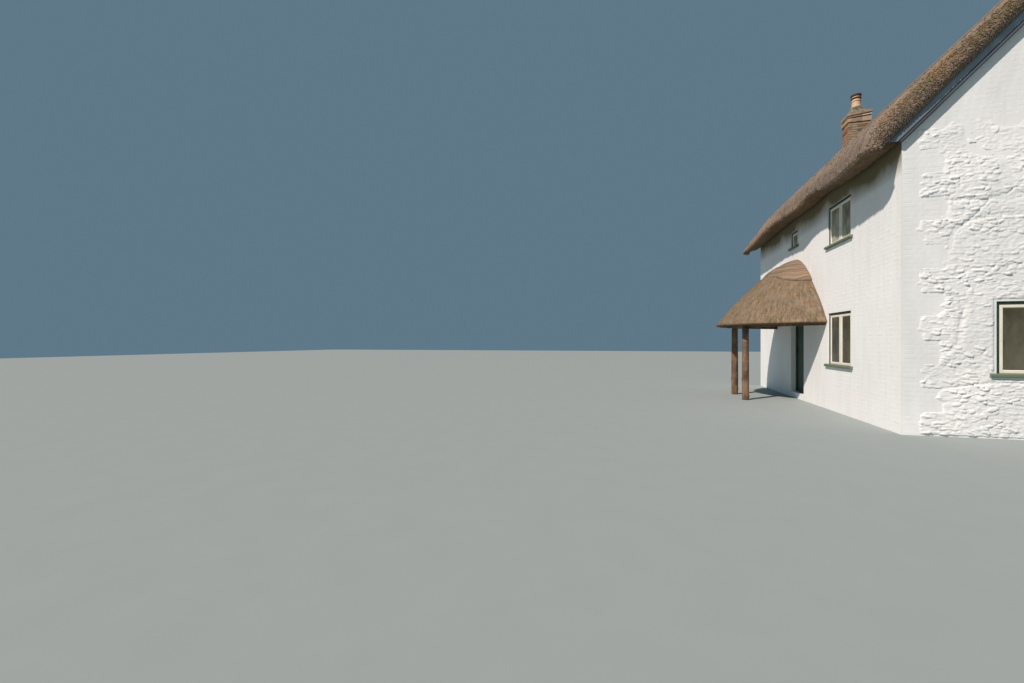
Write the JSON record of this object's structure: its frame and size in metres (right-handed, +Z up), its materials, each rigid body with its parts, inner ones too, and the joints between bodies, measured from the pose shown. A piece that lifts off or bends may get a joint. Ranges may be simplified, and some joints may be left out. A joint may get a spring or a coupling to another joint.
{
  "type": "thatched cottage",
  "caption": "Two-storey cottage with a steep thatched roof, painted masonry walls, a brick chimney at the far gable, casement windows and a round thatched porch on posts.",
  "frame": {"origin": "the middle of the four walls' plan, on the floor that the cottage stands on", "axes": "+Z up, X along the ridge with the chimney at the -X end, the porch on the -Y side"},
  "size_m": [8.7, 7.65, 9.1753],
  "materials": {
    "painted_masonry": "matt white masonry paint over brick and rubble",
    "flagstone": "worn stone floor",
    "floorboards": "waxed boards",
    "thatch": "weathered straw thatch, matt",
    "ridge_thatch": "newer straw thatch, matt",
    "board_paint": "pale grey-blue painted timber",
    "brick": "orange-brown brick, weathered",
    "mortar": "trowelled mortar",
    "clay_pot": "buff fired clay, sooted at the rim",
    "oak": "bare rustic timber",
    "green_paint": "dark green painted timber",
    "cream_paint": "cream painted timber",
    "door_paint": "dark green painted boards",
    "glass": "clear window glass"
  },
  "bodies": {
    "root": {"ground_floor": "flagstone", "first_floor": "floorboards", "front_wall": "painted_masonry", "rear_wall": "painted_masonry", "near_gable_wall": "painted_masonry", "far_gable_wall": "painted_masonry", "front_thatch": "thatch", "rear_thatch": "thatch", "ridge_thatch": "ridge_thatch", "near_bargeboards": "board_paint", "far_bargeboards": "board_paint", "chimney_breast": "brick", "chimney_stack": "brick", "chimney_cap": "brick", "chimney_flaunching": "mortar", "chimney_pot": "clay_pot", "porch_thatch": "thatch", "porch_thatch_cap": "ridge_thatch", "porch_plate": "oak", "porch_rafters": "oak", "porch_post_left": "oak", "porch_post_right": "oak", "door_frame": "green_paint", "front_door": "door_paint", "front_upper_window_frame": "green_paint", "front_upper_window_casements": "cream_paint", "front_upper_window_glass": "glass", "front_small_window_frame": "green_paint", "front_small_window_casements": "cream_paint", "front_small_window_glass": "glass", "front_ground_window_frame": "green_paint", "front_ground_window_casements": "cream_paint", "front_ground_window_glass": "glass", "near_gable_window_frame": "green_paint", "near_gable_window_casements": "cream_paint", "near_gable_window_glass": "glass", "rear_upper_window_left_frame": "green_paint", "rear_upper_window_left_casements": "cream_paint", "rear_upper_window_left_glass": "glass", "rear_upper_window_right_frame": "green_paint", "rear_upper_window_right_casements": "cream_paint", "rear_upper_window_right_glass": "glass", "rear_ground_window_left_frame": "green_paint", "rear_ground_window_left_casements": "cream_paint", "rear_ground_window_left_glass": "glass", "rear_ground_window_right_frame": "green_paint", "rear_ground_window_right_casements": "cream_paint", "rear_ground_window_right_glass": "glass"}
  },
  "joints": []
}
